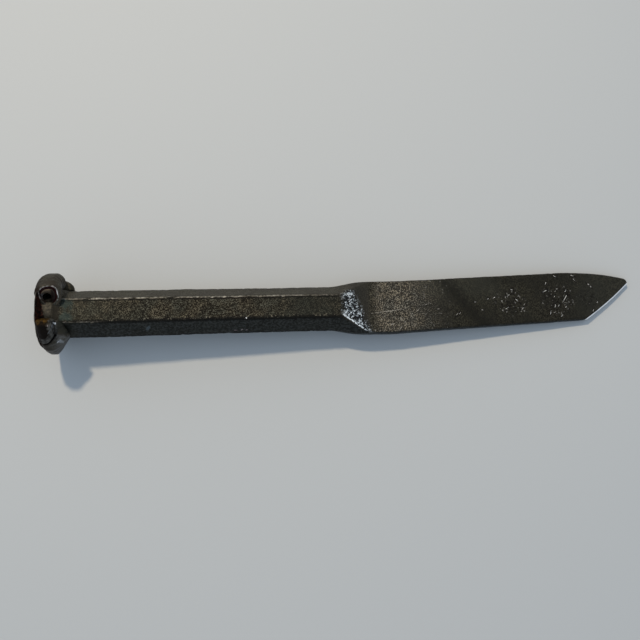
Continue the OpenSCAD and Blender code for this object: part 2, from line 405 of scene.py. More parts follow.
def new_group(name, inputs, outputs):
    group = bpy.data.node_groups.new(name, "ShaderNodeTree")
    for label, kind, value in inputs:
        socket = group.interface.new_socket(label, in_out="INPUT", socket_type="NodeSocket" + kind)
        if value is not None:
            socket.default_value = value
    for label, kind in outputs:
        group.interface.new_socket(label, in_out="OUTPUT", socket_type="NodeSocket" + kind)
    return group, group.nodes.new("NodeGroupInput").outputs, group.nodes.new("NodeGroupOutput").inputs


# Pits: small hollows where scale has flaked off or grit was hammered in. Only a share of the cells
# has one, and some carry a painted glint on their floor.
pits, given, result = new_group(
    "pits",
    [("Vector", "Vector", None), ("Spacing", "Float", 2.0), ("Size", "Float", 0.3), ("Share", "Float", 0.3)],
    [("Mask", "Float"), ("Glint", "Float")],
)
warp = put(pits, "TexNoise", {"Vector": given["Vector"], "Scale": 1.1, "Detail": 2.0}).outputs["Color"]
shift = put(pits, "VectorMath", {0: warp, 1: (0.5, 0.5, 0.5)}, operation="SUBTRACT").outputs[0]
bent = put(pits, "VectorMath", {0: shift, 1: (0.9, 0.9, 0.9), 2: given["Vector"]}, operation="MULTIPLY_ADD")
density = calc(pits, "DIVIDE", 1.0, given["Spacing"])
cells = put(pits, "TexVoronoi", {"Vector": bent.outputs[0], "Scale": density})
lottery = put(pits, "SeparateColor", {"Color": cells.outputs["Color"]}).outputs
chosen = calc(pits, "LESS_THAN", lottery["Red"], given["Share"])
size = product(pits, given["Size"], calc(pits, "ADD", 0.4, lottery["Green"]))
inside = put(pits, "MapRange", {"Value": cells.outputs["Distance"], "From Min": size, "From Max": 0.0})
hollow = product(pits, inside.outputs[0], chosen)
shiny = calc(pits, "GREATER_THAN", lottery["Blue"], 0.4)
pits.links.new(hollow, result["Mask"])
pits.links.new(product(pits, ramp(pits, hollow, 0.1, 0.6), shiny), result["Glint"])

# Scratches: the long thin cells of a stretched pattern, of which only a few show.
scratches, given, result = new_group(
    "scratches",
    [
        ("Vector", "Vector", None), ("Turn", "Float", 0.0), ("Spacing", "Float", 3.0), ("Share", "Float", 0.1),
        ("Shortness", "Float", 0.14),
    ],
    [("Mask", "Float")],
)
turned = put(
    scratches, "VectorRotate", {"Vector": given["Vector"], "Angle": given["Turn"]}, rotation_type="Z_AXIS"
)
shares = put(scratches, "CombineXYZ", {"X": given["Shortness"], "Y": 1.8}).outputs[0]
squeeze = put(scratches, "VectorMath", {0: turned.outputs[0], 1: shares}, operation="MULTIPLY").outputs[0]
density = calc(scratches, "DIVIDE", 1.0, given["Spacing"])
cells = put(scratches, "TexVoronoi", {"Vector": squeeze, "Scale": density}, voronoi_dimensions="2D")
lottery = put(scratches, "SeparateColor", {"Color": cells.outputs["Color"]}).outputs
chosen = calc(scratches, "LESS_THAN", lottery["Red"], given["Share"])
line = ramp(scratches, cells.outputs["Distance"], 0.12, 0.03)
scratches.links.new(product(scratches, line, chosen), result["Mask"])

# Chips: single knocks in the blade, each a short bright stroke, partly bare steel and partly painted glint, with
# painted shade beside it.
chip, given, result = new_group(
    "chip",
    [
        ("Vector", "Vector", None), ("Waver", "Float", 0.0), ("Centre", "Vector", None),
        ("Turn", "Float", 0.0), ("Size", "Vector", None),
    ],
    [("Bright", "Float"), ("Dark", "Float")],
)
local = put(chip, "VectorMath", {0: given["Vector"], 1: given["Centre"]}, operation="SUBTRACT").outputs[0]
turned = put(chip, "VectorRotate", {"Vector": local, "Angle": given["Turn"]}, rotation_type="Z_AXIS", invert=True)
spread = put(chip, "VectorMath", {0: turned.outputs[0], 1: given["Size"]}, operation="DIVIDE").outputs[0]
away = put(chip, "VectorMath", {0: spread}, operation="LENGTH").outputs["Value"]
away = calc(chip, "ADD", away, product(chip, given["Waver"], 1.6))
chip.links.new(ramp(chip, away, 1.05, 0.6), result["Bright"])
beside = put(chip, "VectorMath", {0: spread, 1: (0.3, -0.9, 0.0)}, operation="SUBTRACT").outputs[0]
away = put(chip, "VectorMath", {0: beside}, operation="LENGTH").outputs["Value"]
away = calc(chip, "ADD", away, product(chip, given["Waver"], 3.0))
chip.links.new(ramp(chip, away, 2.4, 1.2), result["Dark"])

# Forged skin: steel that scaled in the fire, was hammered, and has browned since. Grains of bare
# olive steel stand in dark scale, more on the flats that rub, fewer underneath.
skin, given, result = new_group(
    "forged_skin",
    [("Vector", "Vector", None), ("Smooth", "Float", 0.0)],
    [("Color", "Color"), ("Height", "Float"), ("Roughness", "Float")],
)
place = given["Vector"]
grain = cloudiness(skin, place, 0.36, 2.0, 0.75)
coarse = cloudiness(skin, place, 1.5, 3.0, 0.7)
blotch = cloudiness(skin, place, 7.0, 3.0)
wide = cloudiness(skin, stretched(skin, place, 0.5, 1.0, 1.0), 20.0, 2.0)
mottle = calc(skin, "ADD", product(skin, grain, 0.78), product(skin, coarse, 0.22))
bare = ramp(skin, mottle, 0.49, 0.6)
scale_colour = tint(skin, ramp(skin, wide, 0.4, 0.6), (0.0065, 0.006, 0.0042, 1), (0.0085, 0.0068, 0.0042, 1))
bare_colour = tint(skin, ramp(skin, blotch, 0.38, 0.62), (0.08, 0.079, 0.059, 1), (0.108, 0.094, 0.064, 1))
rough_skin = tint(skin, bare, scale_colour, bare_colour)
specks = ramp(skin, coarse, 0.42, 0.3)
rough_skin = tint(skin, product(skin, specks, 0.8), rough_skin, (0.005, 0.0045, 0.003, 1))
calm = tint(skin, ramp(skin, mottle, 0.38, 0.62), (0.026, 0.0238, 0.0165, 1), (0.08, 0.073, 0.054, 1))
calm = tint(skin, ramp(skin, blotch, 0.35, 0.65, 0.0, 0.5), calm, (0.04, 0.034, 0.028, 1))
skin.links.new(tint(skin, given["Smooth"], rough_skin, calm), result["Color"])
relief = product(skin, mottle, calc(skin, "SUBTRACT", 1.0, product(skin, given["Smooth"], 0.75)))
skin.links.new(relief, result["Height"])
skin.links.new(ramp(skin, mottle, 0.4, 0.65, 0.62, 0.46), result["Roughness"])


def new_steel(name):
    """A material with the tool's own millimetre frame ready for its patterns."""
    material = bpy.data.materials.new(name)
    material.use_nodes = True
    tree = material.node_tree
    mapping = {"Vector": put(tree, "TexCoord").outputs["Object"], "Location": lie.translation}
    mapping["Rotation"] = lie.to_euler()
    mapping["Scale"] = (MM, MM, MM)
    place = put(tree, "Mapping", mapping, vector_type="TEXTURE").outputs[0]
    return material, tree, place, tree.nodes["Principled BSDF"]


def use(tree, group, **inputs):
    """Puts a group to work. Inputs are sockets to link or values to set."""
    node = put(tree, "Group", node_tree=group)
    for key, value in inputs.items():
        if isinstance(value, bpy.types.NodeSocket):
            tree.links.new(value, node.inputs[key])
        else:
            node.inputs[key].default_value = value
    return node.outputs


def finish_steel(tree, steel, colour, rough, height, depth=0.00035, metallic=0.6, strength=0.6):
    tree.links.new(colour, steel.inputs["Base Color"])
    tree.links.new(rough, steel.inputs["Roughness"])
    steel.inputs["Metallic"].default_value = metallic
    steel.inputs["Specular IOR Level"].default_value = 0.15
    bump = put(tree, "Bump", {"Height": height, "Strength": strength, "Distance": depth})
    tree.links.new(bump.outputs[0], steel.inputs["Normal"])


def slope_towards(tree, direction):
    """How far the surface faces a direction of the tool's frame, from -1 to 1."""
    normal = put(tree, "TexCoord").outputs["Normal"]
    turned = lie.to_3x3() @ Vector(direction)
    return put(tree, "VectorMath", {0: normal, 1: turned}, operation="DOT_PRODUCT").outputs["Value"]


# The worst knocks and scratches on the blade, each with its place, its turn in degrees and its length
CHIPS = [
    (166.1, -3.7, 45, 1.1), (167.4, -3.2, 45, 0.8), (174.1, 1.4, 0, 0.6), (179.7, 2.6, 30, 0.8),
    (182.4, 3.1, 30, 0.9), (190.2, 6.4, -20, 0.8), (188.7, 4.1, 20, 0.8), (192.1, 2.0, -45, 1.3),
    (187.6, -1.5, 30, 1.4), (194.5, -1.6, 60, 0.7), (176.9, -2.0, 0, 0.6), (205.2, 8.9, 60, 0.9),
    (204.6, 5.6, 25, 1.4), (213.6, 5.5, 40, 1.0), (213.1, 2.3, 56, 2.7), (208.7, 3.3, 50, 0.8),
    (208.7, -0.9, 70, 1.3), (210.3, -0.6, 50, 0.8), (206.5, -3.7, 75, 1.2), (211.3, -5.0, 45, 1.1),
    (213.4, -1.2, 50, 0.9), (217.9, 10.3, -50, 1.1), (217.2, 12.2, -20, 1.1), (209.4, 11.9, -40, 1.0),
    (224.1, 8.3, -40, 0.9), (225.0, 7.3, -60, 0.8), (225.3, -2.9, 60, 0.9), (227.4, 0.5, 60, 0.5),
    (131.6, -9.8, 90, 0.7), (135.3, -9.8, 90, 0.6), (142.0, -9.3, 60, 1.6), (142.6, -8.4, 50, 0.8),
    (155.5, -9.4, 80, 1.0), (161.7, -9.2, 80, 0.7), (134.4, -5.3, 20, 0.8), (140.1, -4.8, 60, 0.7),
    (149.7, -1.6, 40, 0.9), (153.2, 0.6, 20, 0.9), (154.3, 1.2, 40, 0.8), (158.2, -1.3, 5, 1.2),
    (147.1, -3.2, 30, 0.9), (138.6, -7.3, 10, 1.6), (144.0, -6.5, 30, 0.8), (138.8, -1.7, 7, 13.0),
]
# Marks on the near side of the bar: place as x and z, turn, length, width and colour
BAR_MARKS = [
    (79.5, 8.2, 80, 0.9, 0.5, (0.8, 0.78, 0.74, 1)), (79.5, 1.9, 10, 1.2, 0.5, (0.22, 0.18, 0.19, 1)),
    (74.9, 1.9, 0, 1.6, 0.5, (0.16, 0.12, 0.13, 1)), (77.4, 2.2, 30, 1.2, 0.5, (0.25, 0.21, 0.21, 1)),
    (40.6, 4.3, 60, 3.0, 1.6, (0.06, 0.074, 0.082, 1)), (98.9, 7.0, 35, 2.4, 0.9, (0.003, 0.003, 0.003, 1)),
    (38.0, 3.2, -50, 3.0, 0.5, (0.006, 0.007, 0.007, 1)),
]
CRUMB_SIZE = 0.45
# The places on the blade that are pitted most, as their middle and their reach
PITTED = [(190.0, 0.6, 9.0), (210.5, 2.4, 10.0), (224.0, 1.6, 6.0)]


# One skin for the whole forging, so that it runs on where the zones meet. Along the tool it changes
# from the browned bar over the glinting slope of the neck to the dark pitted blade.
def forged_steel(name, ground=False):
    material, tree, place, steel = new_steel(name)
    axes = put(tree, "SeparateXYZ", {"Vector": place}).outputs
    x, y = axes["X"], axes["Y"]
    grain = cloudiness(tree, place, 0.42, 2.0)
    ragged = calc(tree, "SUBTRACT", cloudiness(tree, place, 1.1, 3.0, 0.65), 0.5)
    patchy = cloudiness(tree, place, 5.0, 3.0)
    up = slope_towards(tree, (0, 0, 1))
    flat = ramp(tree, calc(tree, "ABSOLUTE", up), 0.8, 0.93)
    side = calc(tree, "SUBTRACT", 1.0, flat)
    waist = band(tree, x, 122.5, 129.5, 1.5)
    smooth = calc(tree, "MAXIMUM", side, product(tree, waist, 0.8))
    base = use(tree, skin, Vector=place, Smooth=smooth)
    wide = cloudiness(tree, place, 12.0, 3.0)
    colour = base["Color"]
    colour = tint(tree, product(tree, waist, 0.5), colour, (0.024, 0.0225, 0.019, 1))
    dim = product(tree, band(tree, x, 94.0, 120.0, 9.0), flat, 0.48)
    colour = tint(tree, dim, colour, (0.015, 0.0165, 0.0135, 1))
    even = product(tree, ramp(tree, x, 34.0, 18.0), flat, 0.28)
    colour = tint(tree, even, colour, (0.042, 0.0375, 0.026, 1))

    # the near sides are painted darker and colder than the far ones, as painted shade with a cool painted reflection;
    # next to the head they are painted lighter and more olive against the shade of the lips
    near = ramp(tree, slope_towards(tree, (0, -1, 0)), 0.3, 0.7)
    lighter = ramp(tree, cloudiness(tree, place, 0.9, 3.0, 0.65), 0.42, 0.62)
    painted_cold_shade = tint(tree, lighter, (0.0062, 0.0078, 0.0076, 1), (0.034, 0.038, 0.037, 1))
    painted_cold_shade = tint(tree, ramp(tree, x, 16.0, 8.0, 0.0, 0.7), painted_cold_shade, (0.024, 0.0255, 0.0195, 1))
    colour = tint(tree, product(tree, near, 0.9), colour, painted_cold_shade)

    # beige grains and fine scratches on the first part of the blade, which fade towards its middle
    root = product(tree, ramp(tree, calc(tree, "ADD", x, product(tree, ragged, 3.0)), 129.5, 135.0), flat)
    fading = ramp(tree, x, 138.0, 171.0, 1.0, 0.0)
    ground_tone = tint(tree, ramp(tree, patchy, 0.4, 0.6), (0.032, 0.029, 0.0235, 1), (0.036, 0.0315, 0.025, 1))
    colour = tint(tree, product(tree, root, 0.9), colour, ground_tone)
    beige = tint(tree, ramp(tree, patchy, 0.38, 0.6), (0.25, 0.231, 0.188, 1), (0.245, 0.209, 0.152, 1))
    speckle = ramp(tree, calc(tree, "ADD", grain, product(tree, patchy, 0.12)), 0.59, 0.68)
    colour = tint(tree, product(tree, root, fading, speckle), colour, beige)
    dusk = ramp(tree, calc(tree, "SUBTRACT", grain, product(tree, ragged, 0.2)), 0.44, 0.36)
    colour = tint(tree, product(tree, root, dusk, 0.85), colour, (0.0125, 0.011, 0.0085, 1))
    lines = use(tree, scratches, Vector=place, Turn=0.03, Spacing=1.1, Share=0.12)["Mask"]
    drawn = product(tree, root, ramp(tree, x, 134.0, 152.0, 1.0, 0.0), ramp(tree, y, -4.0, 2.0, 0.25, 1.0))
    colour = tint(tree, product(tree, lines, drawn, 0.7), colour, (0.26, 0.215, 0.15, 1))
    crossing = use(tree, scratches, Vector=place, Turn=1.9, Spacing=2.2, Share=0.03)["Mask"]
    colour = tint(tree, product(tree, crossing, root, 0.3), colour, (0.15, 0.14, 0.12, 1))

    # the blade: calmer and darker, with a darker diagonal band, and pits and knocks with painted shade in and beside
    # them and painted glints on some pit floors
    on_blade = ramp(tree, x, 146.0, 168.0)
    mottled = calc(tree, "ADD", product(tree, grain, 0.7), product(tree, calc(tree, "ADD", ragged, 0.5), 0.3))
    calm = tint(tree, ramp(tree, mottled, 0.42, 0.61), (0.007, 0.0064, 0.0042, 1), (0.046, 0.042, 0.0285, 1))
    calm = tint(tree, ramp(tree, wide, 0.42, 0.6, 0.0, 0.6), calm, (0.014, 0.0135, 0.0105, 1))
    colour = tint(tree, product(tree, on_blade, flat, 0.9), colour, calm)
    diagonal = calc(tree, "ADD", calc(tree, "ADD", x, product(tree, y, 0.85)), product(tree, ragged, 7.0))
    greenish = product(tree, band(tree, diagonal, 155.0, 192.0, 6.0), ramp(tree, y, -2.0, 8.0), flat)
    colour = tint(tree, product(tree, greenish, 0.32), colour, (0.046, 0.046, 0.036, 1))
    colour = tint(tree, product(tree, ramp(tree, x, 212.0, 228.0), flat, 0.3), colour, (0.043, 0.044, 0.035, 1))
    stripe = product(tree, band(tree, diagonal, 167.0, 173.5, 3.4), flat)
    colour = tint(tree, product(tree, stripe, 0.75), colour, (0.0105, 0.01, 0.008, 1))
    clusters = 0.0
    for middle_x, middle_y, reach in PITTED:
        away = put(tree, "VectorMath", {0: place, 1: (middle_x, middle_y, 0)}, operation="SUBTRACT").outputs[0]
        away = put(tree, "VectorMath", {0: stretched(tree, away, 1.0, 1.2, 0.0)}, operation="LENGTH")
        away = calc(tree, "ADD", away.outputs["Value"], product(tree, ragged, 6.0))
        clusters = calc(tree, "MAXIMUM", clusters, ramp(tree, away, reach, reach * 0.35))
    clusters = product(tree, clusters, flat)
    stains = ramp(tree, cloudiness(tree, place, 1.7, 3.0, 0.65), 0.5, 0.6)
    colour = tint(tree, product(tree, stains, calc(tree, "MAXIMUM", clusters, product(tree, on_blade, 0.25)), 0.8),
                  colour, (0.0085, 0.0075, 0.006, 1))
    holes = use(tree, pits, Vector=place, Spacing=0.95, Size=0.42, Share=0.6)
    dark = product(tree, holes["Mask"], clusters)
    glint = product(tree, holes["Glint"], clusters, ramp(tree, grain, 0.42, 0.5), ramp(tree, x, 222.0, 217.0, 0.2, 1.0))
    waver = calc(tree, "SUBTRACT", cloudiness(tree, place, 0.5, 1.0), 0.5)
    wriggling = put(tree, "CombineXYZ", {"X": product(tree, waver, 1.5), "Y": product(tree, ragged, 2.0)}).outputs[0]
    wriggling = put(tree, "VectorMath", {0: wriggling, 1: place}, operation="ADD").outputs[0]
    short = 0.0
    for turn in (0.7, 2.3, 1.5):
        one_way = use(tree, scratches, Vector=wriggling, Turn=turn, Spacing=2.5, Share=0.25, Shortness=0.55)["Mask"]
        short = calc(tree, "MAXIMUM", short, one_way)
    knocked = product(tree, clusters, ramp(tree, x, 222.0, 217.0, 0.1, 1.0))
    streaked = product(tree, band(tree, x, 148.0, 163.0, 3.0), flat, 0.4)
    short = product(tree, short, calc(tree, "MAXIMUM", ramp(tree, knocked, 0.15, 0.5), streaked))
    strokes = 0.0
    for chip_x, chip_y, turn, length in CHIPS:
        knock = put(tree, "Group", {
            "Vector": place, "Waver": waver, "Centre": (chip_x, chip_y, 0), "Turn": math.radians(turn),
            "Size": (length * 0.7, 0.08 + 0.03 * length / (1 + length**2 / 9), 1000),
        }, node_tree=chip).outputs
        dark = calc(tree, "MAXIMUM", dark, product(tree, knock["Dark"], flat, on_blade))
        strokes = calc(tree, "MAXIMUM", strokes, knock["Bright"])
    # painted shade in the pits and beside the knocks, painted glints on pit floors, and the knocks' strokes: bare steel
    # brightened further as painted glints
    colour = tint(tree, product(tree, ramp(tree, dark, 0.02, 0.3), 0.85), colour, (0.005, 0.0044, 0.0034, 1))
    colour = tint(tree, product(tree, glint, 0.8), colour, (0.27, 0.26, 0.235, 1))
    colour = tint(tree, product(tree, short, ramp(tree, patchy, 0.35, 0.6, 0.25, 1.0)), colour, (0.42, 0.4, 0.36, 1))
    knock_glint_colour = tint(tree, ramp(tree, x, 158.0, 176.0), (0.36, 0.33, 0.28, 1), (0.72, 0.68, 0.62, 1))
    colour = tint(tree, product(tree, strokes, flat, ramp(tree, up, 0, 0.1), 0.95), colour, knock_glint_colour)

    # the slope of the neck was hammered last; painted glints sparkle on the crumbs of its grain
    wave = calc(tree, "ADD", x, product(tree, ragged, 4.0))
    leaning = calc(tree, "ADD", wave, product(tree, y, 0.45))
    warp = put(tree, "TexNoise", {"Vector": place, "Scale": 1.8, "Detail": 2.0}).outputs["Color"]
    bent = put(tree, "VectorMath", {0: warp, 1: (0.9, 0.9, 0.9), 2: place}, operation="MULTIPLY_ADD").outputs[0]
    crumbs = put(tree, "TexVoronoi", {"Vector": bent, "Scale": 1 / CRUMB_SIZE}).outputs["Color"]
    lottery = put(tree, "SeparateColor", {"Color": crumbs}).outputs
    above_line = calc(tree, "ADD", calc(tree, "ADD", y, 3.85), product(tree, calc(tree, "SUBTRACT", x, 118.4), 0.604))
    top_only = product(tree, ramp(tree, above_line, -0.3, 0.1), ramp(tree, calc(tree, "ADD", y, product(tree, ragged, 2.0)), 7.4, 5.6), ramp(tree, up, 0.5, 0.7))
    slope = product(tree, ramp(tree, wave, 116.8, 119.8), ramp(tree, leaning, 127.0, 123.4), top_only)
    colour = tint(tree, product(tree, slope, 0.8), colour, (0.0125, 0.0145, 0.016, 1))
    thick = ramp(tree, cloudiness(tree, place, 2.6, 2.0), 0.4, 0.54)
    thick = calc(tree, "MAXIMUM", thick, product(tree, ramp(tree, above_line, 3.0, 1.0), ramp(tree, x, 129.0, 124.0)))
    crumb = ramp(tree, calc(tree, "ADD", lottery["Red"], product(tree, thick, 0.4)), 0.92, 1.0)
    # painted glints on the crumbs of the neck's slope
    crumb_glints = product(tree, slope, crumb)
    crumb_glint_colour = tint(tree, lottery["Green"], (0.16, 0.18, 0.19, 1), (0.96, 1.0, 1.0, 1))
    colour = tint(tree, crumb_glints, colour, crumb_glint_colour)

    # corners: thin broken light lines, partly worn bare and partly painted highlight, with scale left dark beside them,
    # most on the near side
    reach = put(tree, "Attribute", attribute_name="to_corner").outputs["Fac"]
    wavy = calc(tree, "ADD", reach, product(tree, ragged, 0.9))
    fine = calc(tree, "ADD", reach, product(tree, ragged, 0.35))
    above = ramp(tree, up, -0.2, 0.3)
    on_far = ramp(tree, y, -2.0, 2.0)
    on_bar = ramp(tree, x, 122.0, 114.0)
    by_head = product(tree, ramp(tree, x, 26.0, 16.0, 0.0, 0.6), flat)
    nearer = calc(tree, "SUBTRACT", 1.0, on_far)
    gutter = product(tree, band(tree, wavy, 0.3, 1.0, 0.2), flat, ramp(tree, patchy, 0.3, 0.5, 0.4, 1.0))
    black = product(tree, ramp(tree, wavy, 0.95, 0.35), nearer, ramp(tree, x, 8.0, 24.0, 0.5, 1.0))
    gutter = product(tree, calc(tree, "MAXIMUM", gutter, black), on_bar, above)
    thin = product(tree, ramp(tree, fine, 0.42, 0.15), calc(tree, "SUBTRACT", 1.0, on_bar), above)
    colour = tint(tree, product(tree, calc(tree, "MAXIMUM", gutter, thin), 0.85), colour, (0.0052, 0.005, 0.0045, 1))
    streaks = cloudiness(tree, stretched(tree, place, 0.3, 1.0, 1.0), 1.6, 2.0, 0.7)
    far_gutter = product(tree, band(tree, fine, 0.45, 1.1, 0.25), side, on_far, on_bar, above)
    colour = tint(tree, product(tree, far_gutter, 0.55), colour, (0.022, 0.02, 0.015, 1))
    # light corner lines: bare wear brightened further as painted highlight
    edge = product(tree, ramp(tree, fine, 0.4, 0.2), ramp(tree, streaks, 0.32, 0.48), above)
    edge = product(tree, edge, calc(tree, "MAXIMUM", on_far, by_head), on_bar, ramp(tree, x, 84.0, 98.0, 1.0, 0.55))
    edge_highlight_colour = tint(tree, ramp(tree, patchy, 0.4, 0.6), (0.27, 0.24, 0.19, 1), (0.58, 0.53, 0.44, 1))
    colour = tint(tree, product(tree, edge, 0.9), colour, edge_highlight_colour)
    flecks = ramp(tree, cloudiness(tree, place, 0.7, 1.0), 0.62, 0.68)
    flecks = product(tree, flecks, band(tree, wavy, 0.5, 1.5, 0.3), flat, nearer, on_bar, above)
    colour = tint(tree, product(tree, flecks, 0.8), colour, (0.15, 0.135, 0.1, 1))
    # a thin near-white painted highlight along the lower edge of the neck's slope
    slope_edge_highlight = product(tree, band(tree, x, 118.2, 127.6, 0.6), band(tree, calc(tree, "ADD", above_line, product(tree, ragged, 0.7)), -0.3, 0.25, 0.2), above)
    slope_edge_highlight = product(tree, slope_edge_highlight, ramp(tree, cloudiness(tree, place, 0.8, 2.0), 0.42, 0.5))
    colour = tint(tree, slope_edge_highlight, colour, (0.96, 1.0, 1.0, 1))

    # a few marks on the bar: bare specks, a bluish bruise on the near side and a black nick
    for mark_x, mark_z, turn, length, width, tone in BAR_MARKS:
        facing = put(tree, "CombineXYZ", {"X": x, "Y": axes["Z"]}).outputs[0]
        mark = put(tree, "Group", {
            "Vector": facing, "Waver": waver, "Centre": (mark_x, mark_z, 0), "Turn": math.radians(turn),
            "Size": (length / 2, width / 2, 1000),
        }, node_tree=chip).outputs["Bright"]
        colour = tint(tree, product(tree, mark, ramp(tree, slope_towards(tree, (0, -1, 0.3)), 0.3, 0.5)), colour, tone)

    # a smear of old green paint next to the head
    smear = band(tree, calc(tree, "ADD", x, product(tree, ragged, 2.0)), 7.0, 12.4, 1.0)
    smear = product(tree, smear, ramp(tree, calc(tree, "ADD", y, product(tree, ragged, 3.0)), -4.6, -3.4))
    smear = product(tree, smear, ramp(tree, patchy, 0.34, 0.5), flat)
    colour = tint(tree, product(tree, smear, 0.65), colour, (0.03, 0.044, 0.04, 1))

    raised = calc(tree, "SUBTRACT", base["Height"], product(tree, dark, 1.2))
    raised = calc(tree, "ADD", raised, product(tree, crumb_glints, 0.5))
    rough = calc(tree, "SUBTRACT", base["Roughness"], product(tree, crumb_glints, 0.1))
    if ground:
        # two narrow bevels, ground bright along the slanted edge; where they face up they are painted near white as a
        # painted reflection
        away = put(tree, "VectorMath", {0: place, 1: tuple(EDGE_MIDDLE.to_3d())}, operation="SUBTRACT").outputs[0]
        away = put(tree, "VectorMath", {0: stretched(tree, away, 1.0, 1.0, 0.0)}, operation="LENGTH").outputs["Value"]
        bevel = ramp(tree, calc(tree, "ADD", away, product(tree, ragged, 0.15)), EDGE_RADIUS - 0.6, EDGE_RADIUS - 0.5)
        ground_lines = cloudiness(tree, stretched(tree, place, 1.0, 0.15, 2.0), 0.3, 2.0)
        ground_steel_and_reflection = tint(tree, ramp(tree, ground_lines, 0.4, 0.6), (0.3, 0.31, 0.32, 1), (0.5, 0.51, 0.52, 1))
        # painted reflection: the upward-facing bevel is painted near white
        ground_steel_and_reflection = tint(tree, ramp(tree, up, 0.12, 0.3), ground_steel_and_reflection, (0.88, 0.89, 0.9, 1))
        colour = tint(tree, product(tree, bevel, 0.97), colour, ground_steel_and_reflection)
        rough = tint(tree, bevel, rough, (0.28, 0.28, 0.28, 1))
    finish_steel(tree, steel, colour, rough, raised)
    return material


def parted(source, name, *cuts):
    """Copies the forging and cuts away what lies beyond each plane, given as a point and a normal."""
    bpy.ops.object.select_all(action="DESELECT")
    source.select_set(True)
    bpy.context.view_layer.objects.active = source
    bpy.ops.object.duplicate()
    piece = bpy.context.active_object
    piece.name = piece.data.name = name
    bpy.ops.object.mode_set(mode="EDIT")
    for point, normal in cuts:
        bpy.ops.mesh.select_all(action="SELECT")
        bpy.ops.mesh.bisect(plane_co=point, plane_no=normal, use_fill=True, clear_outer=True)
    bpy.ops.object.mode_set(mode="OBJECT")
    bpy.ops.object.shade_smooth_by_angle(angle=math.radians(38))
    return piece


inward = Vector((-slant.y, slant.x, 0))
strip_line = NEAR_CORNER.to_3d() + inward * EDGE_STRIP
shank = parted(body, "shank_bar", ((NECK_X, 0, 0), (1, 0, 0)))
shank.data.materials.append(forged_steel("forged_bar"))
lay_down(shank, "shank", slot="forged_steel")

neck = parted(body, "neck_shoulder", ((NECK_X, 0, 0), (-1, 0, 0)), ((BLADE_X, 0, 0), (1, 0, 0)))
neck.data.materials.append(shank.data.materials[0])
lay_down(neck, "neck", slot="forged_steel")

blade = parted(body, "blade_flat", ((BLADE_X, 0, 0), (-1, 0, 0)), (strip_line, -inward))
blade.data.materials.append(shank.data.materials[0])
lay_down(blade, "blade", slot="forged_steel")

# The cutting edge: the slanted end of the blade, hardened, with two narrow bevels ground bright.
edge = parted(body, "cutting_edge_strip", (strip_line, inward))
edge.data.materials.append(forged_steel("ground_edge", ground=True))
lay_down(edge, "cutting_edge", slot="ground_steel")
bpy.data.objects.remove(body)

# The striking head: the end of the bar, upset by blows until it is rounder and thicker, with a
# crowned and battered face. The blows have driven the rim of the face out into a thin flange.
CORE_RADIUS = 9.84
HEAD_SIDES = 160
HEAD_STEP = 0.4
FACE_PROFILE = [
    (-1.17, 0.4), (-1.17, 7.2), (-1.08, 9.4), (-0.95, 11.2), (-0.75, 12.9), (-0.45, 14.0), (-0.15, 14.45),
    (0.1, 14.5), (0.4, 14.1), (0.6, 13.2), (0.85, 11.9), (1.1, 10.9), (1.4, 10.3), (1.9, CORE_RADIUS),
    (4.6, CORE_RADIUS), (13, CORE_RADIUS),
]


def evenly(points, spacing):
    """Points along a line of points, about so far apart."""
    result = []
    for a, b in zip(points, points[1:]):
        count = max(1, round(math.dist(a, b) / spacing))
        result += [tuple(mix(p, q, i / count) for p, q in zip(a, b)) for i in range(count)]
    return result + [points[-1]]


def hexagon_radius(angle):
    """How far the bar's skin is from its axis, at an angle from the upper flat."""
    return BAR_HALF / math.cos(((angle + math.pi / 6) % (math.pi / 3)) - math.pi / 6)


def head_point(x, radius, turn):
    """The core is round behind the flange and sinks into the hexagon bar. On top, in the gap
    between the lips, a smooth pad stands out of it with a rounded far end."""
    angle = turn * math.tau / HEAD_SIDES
    across, height = math.sin(angle), math.cos(angle)
    sunk = hexagon_radius(angle) - 0.45
    if x < 0.9:
        below_near = -0.77 * across - 0.64 * height
        radius = min(radius, 14.5 - 0.45 * ease((below_near - 0.3) / 0.5))
    start = mix(7.2, 4.9, ease(height + 0.1))
    if x > start:
        radius = mix(radius, sunk, ease((x - start) / 3.6))
    if 0.9 < x < 6.4:
        side = abs(angle if angle < math.pi else angle - math.tau) * CORE_RADIUS
        past = math.hypot(max(0, abs(x - 3.2) - 0.9), max(0, side - 2.0 if across > 0 else side - 4.6))
        radius = max(radius, CORE_RADIUS + mix(-1.6, 0.6, ease((2.2 - past) / 1.2)))
    return x, across * radius, height * radius


rings = [[head_point(x, r, turn) for turn in range(HEAD_SIDES)] for x, r in evenly(FACE_PROFILE, HEAD_STEP)]
head, places = swept("head_core", rings)
dent(head, "face_blows", 4.5, 0.5, 0.68)
dent(head, "face_pecks", 1.3, 0.16, 0.6)
bpy.ops.object.shade_smooth_by_angle(angle=math.radians(50))

battered, tree, place, steel = new_steel("battered_head")
axes = put(tree, "SeparateXYZ", {"Vector": place}).outputs
x, y = axes["X"], axes["Y"]
ragged = calc(tree, "SUBTRACT", cloudiness(tree, place, 1.3, 3.0, 0.65), 0.5)
patchy = cloudiness(tree, place, 4.0, 3.0)
base = use(tree, skin, Vector=place, Smooth=0.6)
colour = base["Color"]
struck = ramp(tree, slope_towards(tree, (-1, 0, 0)), 0.25, 0.6)
colour = tint(tree, product(tree, struck, ramp(tree, patchy, 0.35, 0.6), 0.6), colour, (0.16, 0.15, 0.13, 1))
pecks = use(tree, pits, Vector=place, Spacing=1.6, Size=0.4, Share=0.5)
colour = tint(tree, product(tree, pecks["Mask"], struck, 0.8), colour, (0.03, 0.024, 0.018, 1))
pad = product(tree, band(tree, x, 1.0, 4.9, 0.35), ramp(tree, slope_towards(tree, (0, 0, 1)), 0.7, 0.9))
worn = calc(tree, "ADD", patchy, product(tree, ragged, 0.5))
